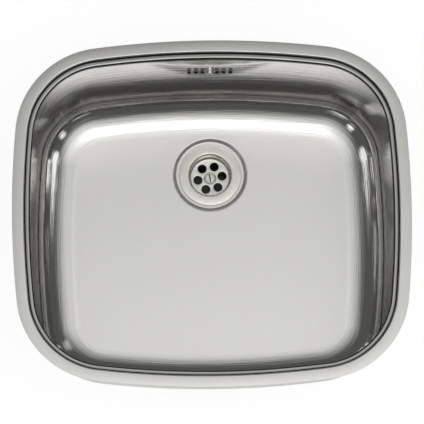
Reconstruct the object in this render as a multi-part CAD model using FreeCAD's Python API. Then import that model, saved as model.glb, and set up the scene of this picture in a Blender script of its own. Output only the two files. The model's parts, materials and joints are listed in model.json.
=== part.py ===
import FreeCAD, Part
import math
import os

from FreeCAD import Placement, Rotation, Vector

# Undermount kitchen sink: a drawn stainless bowl with a flat rim, a 1 1/2 inch waste with a
# slotted centre screw, and a slotted overflow joined to the waste by a ribbed hose.
# Millimetres. +Z is up, +Y runs to the back (the overflow side), +X to the right.
# The origin is the middle of the rim, in the plane of its top face.

# ---- bowl
length = 440.0
width = 390.0
sideRadius = 1030.0         # all four sides bow outward on this radius
cornerRadius = 100.0
sheet = 0.8
rimFlat = 12.9              # flat flange, measured to the corner where it steps down
stepRun = 1.1
ledgeDepth = 5.2            # the narrow ledge below the rim
wallTop = 19.755            # inset of the wall at the ledge's height
draft = 3.0                 # wall draft, degrees
bowlDepth = 175.0
rimBend = 1.6
ledgeBend = 1.4
lipBend = 2.8
wallBend = 18.0             # the wall turns in on this radius as far as bendTurn ...
bendTurn = 52.0             # ... degrees from upright, and then on the wider one to the floor
floorBend = 58.5
floorInset = 70.4           # where the drawn wall profile gives way to the flat floor

# ---- waste
wasteY = 81.5
recessOuter = 41.5
recessInner = 38.2
recessDepth = 3.2
recessBlend = 43.0
recessBends = (3.0, 2.0)
bowlHole = 26.5
flangeRadius = 35.0
flangeSheet = 1.0
shankHole = 3.4             # hole in the grid for the centre screw
upperSealRadius = 34.0
sealBore = 27.5
upperSealThick = 1.2
lowerSealThick = 3.0
cupRadius = 23.0
cupDepth = 16.5
cupLip = 2.2
cupBend = 2.5
dishRun = 1.2
dishBend = 1.1
gridHoles = 6
gridHoleRadius = 5.0
gridCircle = 13.75          # radius of the circle the grid holes lie on
gridTurn = 9.4              # one hole stands this many degrees from +X
screwDish = 5.65            # dish in the grid around the centre screw
dishDepth = 1.5

# ---- overflow
facetDraft = 0.5            # the pressed flat around the slots is steeper than the wall
facetEnd = 68.0             # depth below the rim where that flat runs out into the wall
shoulderTop = 8.7
shoulderDraft = 11.6
overflowDepth = 50.0
slotPlaces = (8.0, 15.5, 23.0)
slotWidth = 4.0
slotHeight = 28.0
slotCorner = 1.0
overflowHole = 2.8

up = Vector(0, 0, 1)
outward = Vector(0, 1, 0)
wasteMiddle = Vector(0, wasteY, 0)
seatTop = -bowlDepth - recessDepth


def slope(degrees):
    return math.tan(math.radians(degrees))


def along(degrees, size=1.0):
    turn = math.radians(degrees)
    return Vector(size * math.cos(turn), size * math.sin(turn), 0)


# ---------------------------------------------------------------- outlines and sheet profiles

def unit(a, b):
    size = math.hypot(b[0] - a[0], b[1] - a[1])
    return ((b[0] - a[0]) / size, (b[1] - a[1]) / size)


def offset_points(points, gap):
    """Move a polyline sideways by gap, to the right of its direction, or to the left if negative."""
    moved = []
    for i, p in enumerate(points):
        first = unit(points[max(i - 1, 0)], points[max(i, 1)])
        last = unit(points[min(i, len(points) - 2)], points[min(i + 1, len(points) - 1)])
        n1 = (first[1], -first[0])
        n2 = (last[1], -last[0])
        k = gap / (1 + n1[0] * n2[0] + n1[1] * n2[1])
        moved.append((p[0] + k * (n1[0] + n2[0]), p[1] + k * (n1[1] + n2[1])))
    return moved


def offset_radii(points, radii, gap):
    """A bend that turns towards the offset side tightens by the gap, the others open by it."""
    out = []
    for i, r in enumerate(radii):
        a, b, c = points[i], points[i + 1], points[i + 2]
        cross = (b[0] - a[0]) * (c[1] - b[1]) - (b[1] - a[1]) * (c[0] - b[0])
        out.append(r + gap * math.copysign(1, cross) if r else 0)
    return out


def rounded_edges(points, radii, place):
    """Straight runs joined by tangent arcs, one radius for each inner point."""
    edges = []

    def run(a, b):
        if math.dist(a, b) > 1e-6:
            edges.append(Part.makeLine(place(*a), place(*b)))

    last = points[0]
    for i, r in enumerate(radii):
        p = points[i + 1]
        start = p
        end = p
        if r:
            a = unit(p, points[i])
            b = unit(p, points[i + 2])
            half = math.acos(a[0] * b[0] + a[1] * b[1]) / 2
            reach = r / math.tan(half)
            start = (p[0] + a[0] * reach, p[1] + a[1] * reach)
            end = (p[0] + b[0] * reach, p[1] + b[1] * reach)
            toward = unit((0, 0), (a[0] + b[0], a[1] + b[1]))
            sag = r / math.sin(half) - r
            middle = (p[0] + toward[0] * sag, p[1] + toward[1] * sag)
        run(last, start)
        if r:
            edges.append(Part.Arc(place(*start), place(*middle), place(*end)).toShape())
        last = end
    run(last, points[-1])
    return edges


def sheet_face(points, radii, thickness, place):
    """The cut section of a bent sheet whose upper side follows the given path."""
    under = offset_points(points, thickness)
    top = rounded_edges(points, radii, place)
    bottom = rounded_edges(under, offset_radii(points, radii, thickness), place)
    caps = [Part.makeLine(place(*points[-1]), place(*under[-1])),
            Part.makeLine(place(*under[0]), place(*points[0]))]
    return Part.Face(Part.Wire(Part.__sortEdges__(top + bottom + caps)))


def polygon_face(points, place):
    spots = [place(*p) for p in points]
    return Part.Face(Part.makePolygon(spots + spots[:1]))


def turned(points, centre=Vector(0, 0, 0)):
    """A closed (radius, height) outline turned about a vertical axis."""
    face = polygon_face(points, lambda r, z: centre + Vector(r, 0, z))
    return face.revolve(centre, up, 360)


def tube(outer, inner, low, high, centre=Vector(0, 0, 0)):
    body = Part.makeCylinder(outer, high - low, centre + Vector(0, 0, low))
    if inner:
        body = body.cut(Part.makeCylinder(inner, high - low + 2, centre + Vector(0, 0, low - 1)))
    return body


def rounded_plate(x, z, radius, y0, y1):
    """An upright plate between y0 and y1, x wide and z tall, with rounded corners."""
    points = [(x / 2 - radius, z / 2), (x / 2, z / 2), (x / 2, -z / 2),
              (-x / 2, -z / 2), (-x / 2, z / 2), (x / 2 - radius, z / 2)]
    edges = rounded_edges(points, [radius] * 4, lambda a, b: Vector(a, y0, b))
    face = Part.Face(Part.Wire(edges))
    return face.extrude(Vector(0, y1 - y0, 0))


def placed(shape, spot, axis, degrees):
    """A copy turned about an axis through the origin and then carried to its spot."""
    copy = shape.copy()
    copy.Placement = Placement(spot, Rotation(axis, degrees)).multiply(shape.Placement)
    return copy


def sound(shape, solids=1):
    """One clean shape with the expected number of solids."""
    clean = shape.removeSplitter()
    if not clean.isValid() or len(clean.Solids) != solids:
        raise RuntimeError(f"bad shape: valid {clean.isValid()}, solids {len(clean.Solids)}")
    return clean


# ---------------------------------------------------------------- the rim's outline

def corner_centre():
    """Centre of the corner arc that touches both neighbouring side arcs from inside."""
    reach = sideRadius - cornerRadius
    back = sideRadius - width / 2
    side = sideRadius - length / 2
    k = side / back
    c = (side ** 2 - back ** 2) / (2 * back) + back
    a = 1 + k * k
    b = 2 * k * c
    x = (-b + math.sqrt(b * b - 4 * a * (c * c - reach ** 2))) / (2 * a)
    return x, k * x + c - back


cornerX, cornerY = corner_centre()
sideShift = sideRadius - length / 2
backShift = sideRadius - width / 2
sideTurn = math.degrees(math.atan2(cornerY, cornerX + sideShift))
backTurn = math.degrees(math.atan2(cornerY + backShift, cornerX))
rimArcs = [
    (Vector(-sideShift, 0, 0), sideRadius, -sideTurn, sideTurn),
    (Vector(cornerX, cornerY, 0), cornerRadius, sideTurn, backTurn),
    (Vector(0, -backShift, 0), sideRadius, backTurn, 180 - backTurn),
    (Vector(-cornerX, cornerY, 0), cornerRadius, 180 - backTurn, 180 - sideTurn),
    (Vector(sideShift, 0, 0), sideRadius, 180 - sideTurn, 180 + sideTurn),
    (Vector(-cornerX, -cornerY, 0), cornerRadius, 180 + sideTurn, 180 + backTurn),
    (Vector(0, backShift, 0), sideRadius, 180 + backTurn, 360 - backTurn),
    (Vector(cornerX, -cornerY, 0), cornerRadius, 360 - backTurn, 360 - sideTurn),
]


def inset_face(inset, z):
    """The rim's outline moved inward, as a flat face."""
    edges = []
    for centre, radius, start, end in rimArcs:
        spots = [centre + along(t, radius - inset) + Vector(0, 0, z)
                 for t in (start, (start + end) / 2, end)]
        edges.append(Part.Arc(*spots).toShape())
    return Part.Face(Part.Wire(edges))


def swept_round(make_face, arcs):
    """Turn a section about each arc's own centre, through that arc's own angle."""
    return [make_face(arc).revolve(arc[0], up, arc[3] - arc[2]) for arc in arcs]


def at_arc(arc):
    centre, radius, start, _ = arc
    return lambda inset, z: centre + along(start, radius - inset) + Vector(0, 0, z)


# ---------------------------------------------------------------- bowl

def wall_inset(depth):
    return wallTop + slope(draft) * (depth - ledgeDepth)


def facet_y(depth):
    """Inner face of the pressed flat at the overflow, at a given depth below the rim."""
    base = width / 2 - wall_inset(facetEnd)
    return base + slope(facetDraft) * (facetEnd - depth)


def floor_corners():
    """Where the wall, the slant between its two lower bends and the floor would meet unrounded."""
    turn = math.radians(bendTurn)
    slant = wallBend * slope((bendTurn - draft) / 2) + floorBend * slope((90 - bendTurn) / 2)
    depth = bowlDepth - slant * math.cos(turn)
    inset = wall_inset(depth)
    return [(inset, -depth), (inset + slant * math.sin(turn), -bowlDepth)]


def bowl_shell():
    profile = [(0, 0), (rimFlat, 0), (rimFlat + stepRun, -ledgeDepth), (wallTop, -ledgeDepth)]
    profile += floor_corners() + [(floorInset, -bowlDepth)]
    bends = [rimBend, ledgeBend, lipBend, wallBend, floorBend]
    walls = swept_round(lambda arc: sheet_face(profile, bends, sheet, at_arc(arc)), rimArcs)
    floor = inset_face(floorInset, -bowlDepth).extrude(Vector(0, 0, -sheet))
    floor = floor.cut(tube(recessBlend, 0, -bowlDepth - 2, -bowlDepth + 2, wasteMiddle))
    dish = [(recessBlend, -bowlDepth), (recessOuter, -bowlDepth), (recessInner, seatTop),
            (bowlHole, seatTop)]
    face = sheet_face(dish, recessBends, -sheet, lambda r, z: wasteMiddle + Vector(r, 0, z))
    seat = face.revolve(wasteMiddle, up, 360)
    return walls[0].multiFuse(walls[1:] + [floor, seat])


def pressed_flat(gap, back, top, end=75.0):
    """What the overflow flat adds to the back wall: in front of its shoulder and its plane."""
    def shoulder(depth):
        lean = slope(shoulderDraft)
        return wall_inset(shoulderTop) + lean * (depth - shoulderTop) - gap / math.cos(math.atan(lean))
    section = [(back(top), -top), (shoulder(top), -top), (shoulder(end), -end), (back(end), -end)]
    ring = swept_round(lambda arc: polygon_face(section, at_arc(arc)), [rimArcs[2]])[0]
    lift = gap / math.cos(math.radians(facetDraft))
    cut = [(facet_y(5) + lift, -5), (width / 2, -5), (width / 2, -end), (facet_y(end) + lift, -end)]
    prism = polygon_face(cut, lambda y, z: Vector(-85, y, z)).extrude(Vector(170, 0, 0))
    return ring.common(prism)


overflowOrigin = Vector(0, facet_y(overflowDepth), -overflowDepth)


def on_facet(shape):
    """Stand a shape on the overflow flat: its y runs out through the sheet, its z up the flat."""
    return placed(shape, overflowOrigin, Vector(1, 0, 0), -facetDraft)


def bowl():
    shell = bowl_shell()
    shell = shell.fuse(pressed_flat(0, lambda d: wall_inset(d) - sheet / 2, shoulderTop - 0.4))
    shell = shell.cut(pressed_flat(sheet, lambda d: wall_inset(d) - 3, shoulderTop - 0.1))
    holes = []
    for x in slotPlaces:
        for side in (-1, 1):
            slot = rounded_plate(slotWidth, slotHeight, slotCorner, -4, 6)
            holes.append(placed(slot, Vector(side * x, 0, 0), up, 0))
    holes.append(Part.makeCylinder(overflowHole, 12, Vector(0, -5, 0), outward))
    return shell.cut(on_facet(Part.makeCompound(holes)))


# ---------------------------------------------------------------- sound pad

padX = 210.0
padY = (-112.0, 22.0)
padThick = 2.5
padCorner = 12.0


def damping_pad():
    low = Vector(-padX / 2, padY[0], -bowlDepth - sheet - padThick)
    pad = Part.makeBox(padX, padY[1] - padY[0], padThick, low)
    upright = [e for e in pad.Edges if abs(e.tangentAt(e.FirstParameter).z) > 0.9]
    return pad.makeFillet(padCorner, upright)


# ---------------------------------------------------------------- waste, from the top down

flangeTop = seatTop + upperSealThick + flangeSheet
gridTop = flangeTop - cupDepth
dishFloor = gridTop - dishDepth
seatUnder = seatTop - sheet
bodyTop = seatUnder - lowerSealThick
inletZ = -204.0
bodyBore = 26.0
bodyWall = 29.0
bodyFlange = 36.0
chamberEnd = -216.0
outletEnd = -246.0
outletOuter = 23.9          # G 1 1/2 thread, 47.8 over its crests
outletInner = 20.0
hubRadius = 6.5
hubTop = dishFloor - flangeSheet - 1.0
hubEnd = -206.0
insertRadius = 4.5
shankRadius = 3.0
threadGap = 0.05
bodyFlangeThick = 3.0
ribThick = 3.0
ribTall = 8.0
ribTurns = (30, 150, 270)
screwLength = 12.0


def waste_flange():
    path = [(flangeRadius, flangeTop), (cupRadius, flangeTop), (cupRadius, gridTop),
            (screwDish + dishRun, gridTop), (screwDish, dishFloor), (shankHole, dishFloor)]
    bends = [cupLip, cupBend, dishBend, 0.0]
    place = lambda r, z: wasteMiddle + Vector(r, 0, z)
    cup = sheet_face(path, bends, -flangeSheet, place).revolve(wasteMiddle, up, 360)
    for i in range(gridHoles):
        spot = wasteMiddle + along(gridTurn + 360 / gridHoles * i, gridCircle)
        cup = cup.cut(tube(gridHoleRadius, 0, gridTop - 5, gridTop + 5, spot))
    return cup


def waste_body():
    under = bodyTop - bodyFlangeThick
    step = chamberEnd - bodyFlangeThick
    outline = [(bodyBore, bodyTop), (bodyFlange, bodyTop), (bodyFlange, under),
               (bodyWall, under), (bodyWall, step), (outletOuter, step),
               (outletOuter, outletEnd), (outletInner, outletEnd), (outletInner, chamberEnd),
               (bodyBore, chamberEnd)]
    body = turned(outline, wasteMiddle)
    hub = tube(hubRadius, 0, hubEnd, hubTop, wasteMiddle)
    ribs = []
    for turn in ribTurns:
        rib = Part.makeBox(bodyBore + 1, ribThick, ribTall, Vector(0, -ribThick / 2, hubEnd))
        ribs.append(placed(rib, wasteMiddle, up, turn))
    body = body.multiFuse([hub] + ribs)
    body = body.cut(tube(insertRadius, 0, hubEnd + 1, hubTop + 1, wasteMiddle))
    body = body.cut(tube(shankRadius + 0.5, 0, hubEnd - 1, hubTop + 1, wasteMiddle))
    body = body.fuse(on_inlet(spigot()))
    return body.cut(on_inlet(Part.makeCylinder(spigotBore, 30, Vector(0, 0, -6))))


wasteHead = (5.0, 2.4)      # radius and height of the screw's head
wasteSlotTurn = 97.0        # degrees that the driver slot stands turned from +X
driverSlot = 1.3            # width and depth of the slot for a screwdriver
driverDepth = 1.2
tipChamfer = 0.8
headRound = 0.3             # rounding of the head's rim, as a share of its height


def slotted_screw(head_size, shank, slot_turn):
    """A cheese-head screw that points down: the underside of its head is at z = 0."""
    head_radius, head_height = head_size
    head = Part.makeCylinder(head_radius, head_height)
    rim = [e for e in head.Edges if isinstance(e.Curve, Part.Circle) and e.Vertexes[0].Z > 1]
    head = head.makeFillet(head_height * headRound, rim)
    slot = Part.makeBox(2 * head_radius + 2, driverSlot, head_height,
                        Vector(-head_radius - 1, -driverSlot / 2, head_height - driverDepth))
    slot = placed(slot, Vector(0, 0, 0), up, slot_turn)
    rod = Part.makeCylinder(shank, screwLength + 0.5, Vector(0, 0, -screwLength))
    tip = [e for e in rod.Edges if isinstance(e.Curve, Part.Circle) and e.Vertexes[0].Z < -1]
    rod = rod.makeChamfer(tipChamfer, tip)
    return head.cut(slot).fuse(rod)


# ---------------------------------------------------------------- hose joints

spigotOuter = 8.5
spigotBore = 6.7
spigotLength = 16.0
cuffRadius = 6.5
sealLength = 3.0
nutGap = 0.2
nutEnd = 21.3
nutRadius = 10.4
gripRadius = 0.8
grips = 14
cuffStart = 6.0
cuffEnd = 24.0


def spigot():
    """Threaded end that a hose cuff slides into, along +z from the wall that carries it."""
    return tube(spigotOuter, spigotBore, -1.2, spigotLength)


def hose_seal():
    return tube(spigotOuter, cuffRadius, spigotLength, spigotLength + sealLength)


def hose_nut():
    """Cap nut: its collar runs round the spigot and its lip closes on the seal."""
    lip = spigotLength + sealLength + 0.3
    bore = spigotOuter + nutGap
    shell = turned([(bore, 3), (nutRadius - 0.6, 3), (nutRadius, 3.6), (nutRadius, nutEnd - 1),
                    (nutRadius - 1, nutEnd), (cuffRadius + 0.4, nutEnd), (cuffRadius + 0.4, lip),
                    (bore, lip)])
    ribs = []
    for i in range(grips):
        spot = along(360 / grips * i, nutRadius - 0.1)
        ribs.append(Part.makeCylinder(gripRadius, nutEnd - 6, spot + Vector(0, 0, 4)))
    return shell.multiFuse(ribs)


hoseY = 183.8
spigotZ = -71.0
inletY = wasteY + bodyWall - 1.5


def on_housing(shape):
    """Joint at the overflow housing, pointing straight down."""
    return placed(shape, Vector(0, hoseY, spigotZ), Vector(1, 0, 0), 180)


def on_inlet(shape):
    """Joint at the side of the waste body, pointing to the back."""
    return placed(shape, Vector(0, inletY, inletZ), Vector(1, 0, 0), -90)


# ---------------------------------------------------------------- hose

hoseBend = 44.0
hoseBore = 5.6
ribRoot = 7.0
ribCrest = 9.0
ribCount = 34
ribSteps = ((0.0, ribRoot), (0.3, ribRoot), (0.5, ribCrest), (0.8, ribCrest))
hoseTop = spigotZ - cuffStart
bendZ = inletZ + hoseBend
bendY = hoseY - hoseBend
hoseEndY = inletY + cuffStart
dropLength = hoseTop - bendZ
bendLength = hoseBend * math.pi / 2
hoseLength = dropLength + bendLength + bendY - hoseEndY


def hose_point(s):
    """Place on the hose's centre line and the turn of its direction from straight down."""
    if s <= dropLength:
        return Vector(0, hoseY, hoseTop - s), 0.0
    if s <= dropLength + bendLength:
        turn = (s - dropLength) / hoseBend
        spot = Vector(0, bendY + hoseBend * math.cos(turn), bendZ - hoseBend * math.sin(turn))
        return spot, math.degrees(turn)
    return Vector(0, bendY - (s - dropLength - bendLength), inletZ), 90.0


def hose_ring(s, radius):
    spot, turn = hose_point(s)
    ring = Part.Wire(Part.makeCircle(radius, Vector(0, 0, 0), Vector(0, 0, -1)))
    return placed(ring, spot, Vector(1, 0, 0), -turn)


def hose_core(radius, first, last):
    """Plain round bar along the hose's line, from one straight run to the other."""
    start, _ = hose_point(first)
    end, _ = hose_point(last)
    drop = Part.makeCylinder(radius, start.z - bendZ, start, Vector(0, 0, -1))
    disc = Part.Face(Part.Wire(Part.makeCircle(radius, Vector(0, hoseY, bendZ), up)))
    bend = disc.revolve(Vector(0, bendY, bendZ), Vector(-1, 0, 0), 90)
    run = Part.makeCylinder(radius, bendY - end.y, Vector(0, bendY, inletZ), Vector(0, -1, 0))
    return drop, bend, run


def overflow_hose():
    first = cuffEnd - cuffStart
    last = hoseLength - first
    pitch = (last - first) / ribCount
    rings = []
    for i in range(ribCount):
        rings += [hose_ring(first + pitch * (i + step), r) for step, r in ribSteps]
    rings.append(hose_ring(last, ribRoot))
    ribs = Part.makeLoft(rings, True, True)
    top = Part.makeCylinder(cuffRadius, first, hose_point(0)[0], Vector(0, 0, -1))
    end = Part.makeCylinder(cuffRadius, first, hose_point(last)[0], Vector(0, -1, 0))
    hose = ribs.multiFuse([top, end])
    for piece in hose_core(hoseBore, 0, hoseLength):
        hose = hose.cut(piece)
    print(f"hose: {hoseLength:.1f} mm on its centre line, {ribCount} ribs, pitch {pitch:.2f} mm")
    return hose


# ---------------------------------------------------------------- overflow, behind the flat

sealPlate = 1.5
housingX = 64.0
housingZ = 44.0
housingWall = 2.0
housingFront = sheet + sealPlate
housingBack = housingFront + 19.5
housingCorner = 6.0
roomCorner = 4.0
windowMargin = 4.0          # width of the seal around its window
windowCorner = 3.0
bossRadius = 5.0
overflowInsertRadius = 3.6
overflowInsertLength = 11.0
overflowShank = 2.5
overflowHead = (4.6, 2.6)
overflowSlotTurn = 18.0
washerRadius = 6.2
washerThick = 1.0
washerChamfer = 0.4
screwSeat = 0.05            # a screw's head stands this far off the face it is turned down on


def overflow_seal():
    plate = rounded_plate(housingX, housingZ, housingCorner, sheet, housingFront)
    window = rounded_plate(housingX - 2 * windowMargin, housingZ - 2 * windowMargin, windowCorner,
                           sheet - 1, housingFront + 1)
    return on_facet(plate.cut(window))


def overflow_housing():
    box = rounded_plate(housingX, housingZ, housingCorner, housingFront, housingBack)
    room = rounded_plate(housingX - 2 * housingWall, housingZ - 2 * housingWall, roomCorner,
                         housingFront - 1, housingBack - housingWall)
    start = Vector(0, sheet + 0.4, 0)
    boss = Part.makeCylinder(bossRadius, housingBack - sheet - 0.6, start, outward)
    shell = box.cut(room).fuse(boss)
    pocket = Part.makeCylinder(overflowInsertRadius, 12, Vector(0, sheet + 0.3, 0), outward)
    shell = on_facet(shell.cut(pocket))
    shell = shell.fuse(on_housing(spigot()))
    return shell.cut(on_housing(Part.makeCylinder(spigotBore, 24, Vector(0, 0, -3))))


def overflow_insert():
    start = Vector(0, sheet + 0.8, 0)
    body = Part.makeCylinder(overflowInsertRadius, overflowInsertLength, start, outward)
    bore = Part.makeCylinder(overflowShank + threadGap, 14, Vector(0, sheet, 0), outward)
    return on_facet(body.cut(bore))


def overflow_screw():
    screw = slotted_screw(overflowHead, overflowShank, overflowSlotTurn)
    seat = Vector(0, -washerThick - screwSeat, 0)
    return on_facet(placed(screw, seat, Vector(1, 0, 0), 90))


def overflow_washer():
    ring = tube(washerRadius, overflowShank + 0.4, 0, washerThick)
    rim = [e for e in ring.Edges if isinstance(e.Curve, Part.Circle)
           and e.Curve.Radius > washerRadius - 0.1 and e.Vertexes[0].Z > 0.5]
    return on_facet(placed(ring.makeChamfer(washerChamfer, rim), Vector(0, 0, 0), Vector(1, 0, 0), 90))


# ---------------------------------------------------------------- every node

def waste_screw():
    screw = slotted_screw(wasteHead, shankRadius, wasteSlotTurn)
    return placed(screw, wasteMiddle + Vector(0, 0, dishFloor + screwSeat), up, 0)


def waste_upper_seal():
    return tube(upperSealRadius, sealBore, seatTop, seatTop + upperSealThick, wasteMiddle)


def waste_lower_seal():
    return tube(bodyFlange, sealBore, bodyTop, seatUnder, wasteMiddle)


def waste_insert():
    return tube(insertRadius, shankRadius + threadGap, hubEnd + 1, hubTop - 0.5, wasteMiddle)


nodes = {
    "bowl": bowl,
    "damping_pad": damping_pad,
    "waste_flange": waste_flange,
    "waste_upper_seal": waste_upper_seal,
    "waste_lower_seal": waste_lower_seal,
    "waste_body": waste_body,
    "waste_insert": waste_insert,
    "waste_screw": waste_screw,
    "overflow_screw": overflow_screw,
    "overflow_washer": overflow_washer,
    "overflow_seal": overflow_seal,
    "overflow_housing": overflow_housing,
    "overflow_insert": overflow_insert,
    "overflow_hose": overflow_hose,
    "upper_hose_nut": lambda: on_housing(hose_nut()),
    "upper_hose_seal": lambda: on_housing(hose_seal()),
    "lower_hose_nut": lambda: on_inlet(hose_nut()),
    "lower_hose_seal": lambda: on_inlet(hose_seal()),
}

os.makedirs("parts", exist_ok=True)
for name, make in nodes.items():
    shape = sound(make())
    shape.exportStep(f"parts/{name}.step")
    box = shape.optimalBoundingBox(False)
    print(f"{name:18s} {shape.Volume / 1000:9.2f} cm3  x {box.XMin:7.1f} {box.XMax:7.1f}  "
          f"y {box.YMin:7.1f} {box.YMax:7.1f}  z {box.ZMin:7.1f} {box.ZMax:7.1f}")
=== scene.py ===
import bpy
import bmesh
import json
import math
from mathutils import Matrix, Vector


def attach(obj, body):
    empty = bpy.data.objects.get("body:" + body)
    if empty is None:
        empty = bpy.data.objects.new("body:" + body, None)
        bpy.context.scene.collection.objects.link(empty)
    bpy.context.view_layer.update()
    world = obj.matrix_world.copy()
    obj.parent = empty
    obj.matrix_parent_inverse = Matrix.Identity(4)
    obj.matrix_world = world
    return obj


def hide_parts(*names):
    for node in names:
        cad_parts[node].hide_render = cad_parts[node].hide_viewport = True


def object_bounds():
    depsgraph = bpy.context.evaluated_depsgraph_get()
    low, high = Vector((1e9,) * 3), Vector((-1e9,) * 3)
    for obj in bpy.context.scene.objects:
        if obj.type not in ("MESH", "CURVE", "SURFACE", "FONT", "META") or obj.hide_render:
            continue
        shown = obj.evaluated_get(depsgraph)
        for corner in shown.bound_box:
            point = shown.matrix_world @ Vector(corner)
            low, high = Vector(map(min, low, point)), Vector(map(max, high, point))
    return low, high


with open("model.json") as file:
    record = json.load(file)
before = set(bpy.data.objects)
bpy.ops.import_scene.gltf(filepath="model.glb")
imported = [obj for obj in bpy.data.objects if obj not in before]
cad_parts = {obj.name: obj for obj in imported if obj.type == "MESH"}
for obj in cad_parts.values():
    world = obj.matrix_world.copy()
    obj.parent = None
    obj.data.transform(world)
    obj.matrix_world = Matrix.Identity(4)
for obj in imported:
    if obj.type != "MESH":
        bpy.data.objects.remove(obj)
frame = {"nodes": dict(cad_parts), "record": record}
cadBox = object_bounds()
mm = 0.001
quarter = math.pi / 2
noiseSpan = {"From Min": 0.3, "From Max": 0.7}  # where a noise has most of its values
print("frame loaded:", len(frame["nodes"]), "nodes")


def hexColour(code):
    # sRGB hex to the linear values that shaders use
    parts = [int(code[i:i + 2], 16) / 255 for i in (1, 3, 5)]
    return [c / 12.92 if c <= 0.04045 else ((c + 0.055) / 1.055) ** 2.4 for c in parts] + [1.0]


def addNode(tree, kind, settings=None, links=None, out=0):
    # settings are properties or sockets, links are what feeds the sockets; gives back one output
    node = tree.nodes.new("ShaderNode" + kind)
    for key, value in (settings or {}).items():
        if isinstance(value, str) and value.startswith("#"):
            value = hexColour(value)
        if isinstance(key, int) or key in node.inputs:
            node.inputs[key].default_value = value
        else:
            setattr(node, key, value)
    for key, source in (links or {}).items():
        tree.links.new(source, node.inputs[key])
    return node.outputs[out] if len(node.outputs) else node


def newMaterial(name, **sockets):
    # a material with its Principled shader set; returns it with its tree and its shader
    material = bpy.data.materials.new(name)
    material.use_nodes = True
    tree = material.node_tree
    shader = tree.nodes["Principled BSDF"]
    for key, value in sockets.items():
        shader.inputs[key.replace("_", " ")].default_value = value
    return material, tree, shader


def feed(tree, shader, **sources):
    for key, source in sources.items():
        tree.links.new(source, shader.inputs[key.replace("_", " ")])


def shadeSmooth(piece, sharpAngle):
    piece.data.shade_smooth()
    piece.data.set_sharp_from_angle(angle=math.radians(sharpAngle))


def newPiece(name, bm, materials, sharpAngle=35):
    mesh = bpy.data.meshes.new(name)
    bm.normal_update()
    bm.to_mesh(mesh)
    bm.free()
    for material in materials:
        mesh.materials.append(material)
    piece = bpy.data.objects.new(name, mesh)
    bpy.context.scene.collection.objects.link(piece)
    shadeSmooth(piece, sharpAngle)
    return piece


def applyModifiers(piece):
    # bake the modifiers into the mesh, so that the mesh holds what is seen
    evaluated = piece.evaluated_get(bpy.context.evaluated_depsgraph_get())
    mesh = bpy.data.meshes.new_from_object(evaluated)
    piece.modifiers.clear()
    piece.data = mesh


def cutWith(piece, cutter):
    cut = piece.modifiers.new("cut", "BOOLEAN")
    cut.operation, cut.solver, cut.object = "DIFFERENCE", "EXACT", cutter


def roundedPath(points, radii, arcSteps):
    # straight runs joined by tangent arcs
    out = [Vector(points[0])]
    for i, radius in enumerate(radii):
        before, corner, after = (Vector(p) for p in points[i:i + 3])
        a = (before - corner).normalized()
        b = (after - corner).normalized()
        half = a.angle(b) / 2
        centre = corner + (a + b).normalized() * radius / math.sin(half)
        arm = corner + a * radius / math.tan(half) - centre
        side = math.copysign(1, a.x * b.y - a.y * b.x)
        for k in range(arcSteps[i] + 1):
            turn = side * (math.pi - 2 * half) * k / arcSteps[i]
            out.append(centre + Vector((arm.x * math.cos(turn) + arm.y * math.sin(turn),
                                        arm.y * math.cos(turn) - arm.x * math.sin(turn))))
    out.append(Vector(points[-1]))
    return [p for i, p in enumerate(out) if i == 0 or (p - out[i - 1]).length > 1e-4]


def pathNormals(path):
    # pointing to the left of the way the path runs
    normals = []
    for i in range(len(path)):
        run = path[min(i + 1, len(path) - 1)] - path[max(i - 1, 0)]
        normals.append(Vector((-run.y, run.x)).normalized())
    return normals


def edgeRound(radius, steps):
    # offsets of a rounded arris, from flat on top to upright: (inward, down)
    turns = [quarter * k / steps for k in range(steps + 1)]
    return [((1 - math.sin(turn)) * radius, (1 - math.cos(turn)) * radius) for turn in turns]


def turnedRings(bm, outline, steps, centre=(0, 0, 0)):
    # rings of a form turned about an upright axis through centre; outline is (radius, height) in mm
    rings = []
    for radius, height in outline:
        turns = [2 * math.pi * k / steps for k in range(steps)]
        spots = [Vector((radius * math.cos(turn), radius * math.sin(turn), height)) for turn in turns]
        rings.append([bm.verts.new((Vector(centre) + spot) * mm) for spot in spots])
    return rings


def ringFaces(bm, rings, closed=False, material=None):
    # quads between neighbouring rings; material gives the slot for each row of them
    following = rings[1:] + rings[:1] if closed else rings[1:]
    for row, (low, high) in enumerate(zip(rings, following)):
        count = len(low)
        for k in range(count):
            face = bm.faces.new((low[k], low[(k + 1) % count], high[(k + 1) % count], high[k]))
            face.material_index = material(row) if material else 0


def fillBetween(bm, rings, upward, material=0):
    # a flat sheet between an outer ring of vertices and the rings inside it
    edges = []
    for ring in rings:
        for k, vert in enumerate(ring):
            other = ring[(k + 1) % len(ring)]
            edges += [edge for edge in vert.link_edges if other in edge.verts]
    for face in bmesh.ops.triangle_fill(bm, use_beauty=True, edges=edges)["geom"]:
        if isinstance(face, bmesh.types.BMFace):
            face.normal_update()
            if (face.normal.z > 0) != upward:
                face.normal_flip()
            face.material_index = material


# camera: steep, from the front, and so far off that there is almost no perspective
cameraSettings = {
    "tilt": 12.2,            # degrees from straight down
    "yaw": -2.37,
    "roll": 1.74,
    "distance": 9.0,         # metres
    "frameWidth": 0.4663,    # metres across the picture at the rim
    "lookAt": (0.1, 0.9),    # mm right of and above the middle of the rim, in the picture
    "sensor": 36,
    "clipEnd": 60,
}


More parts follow.
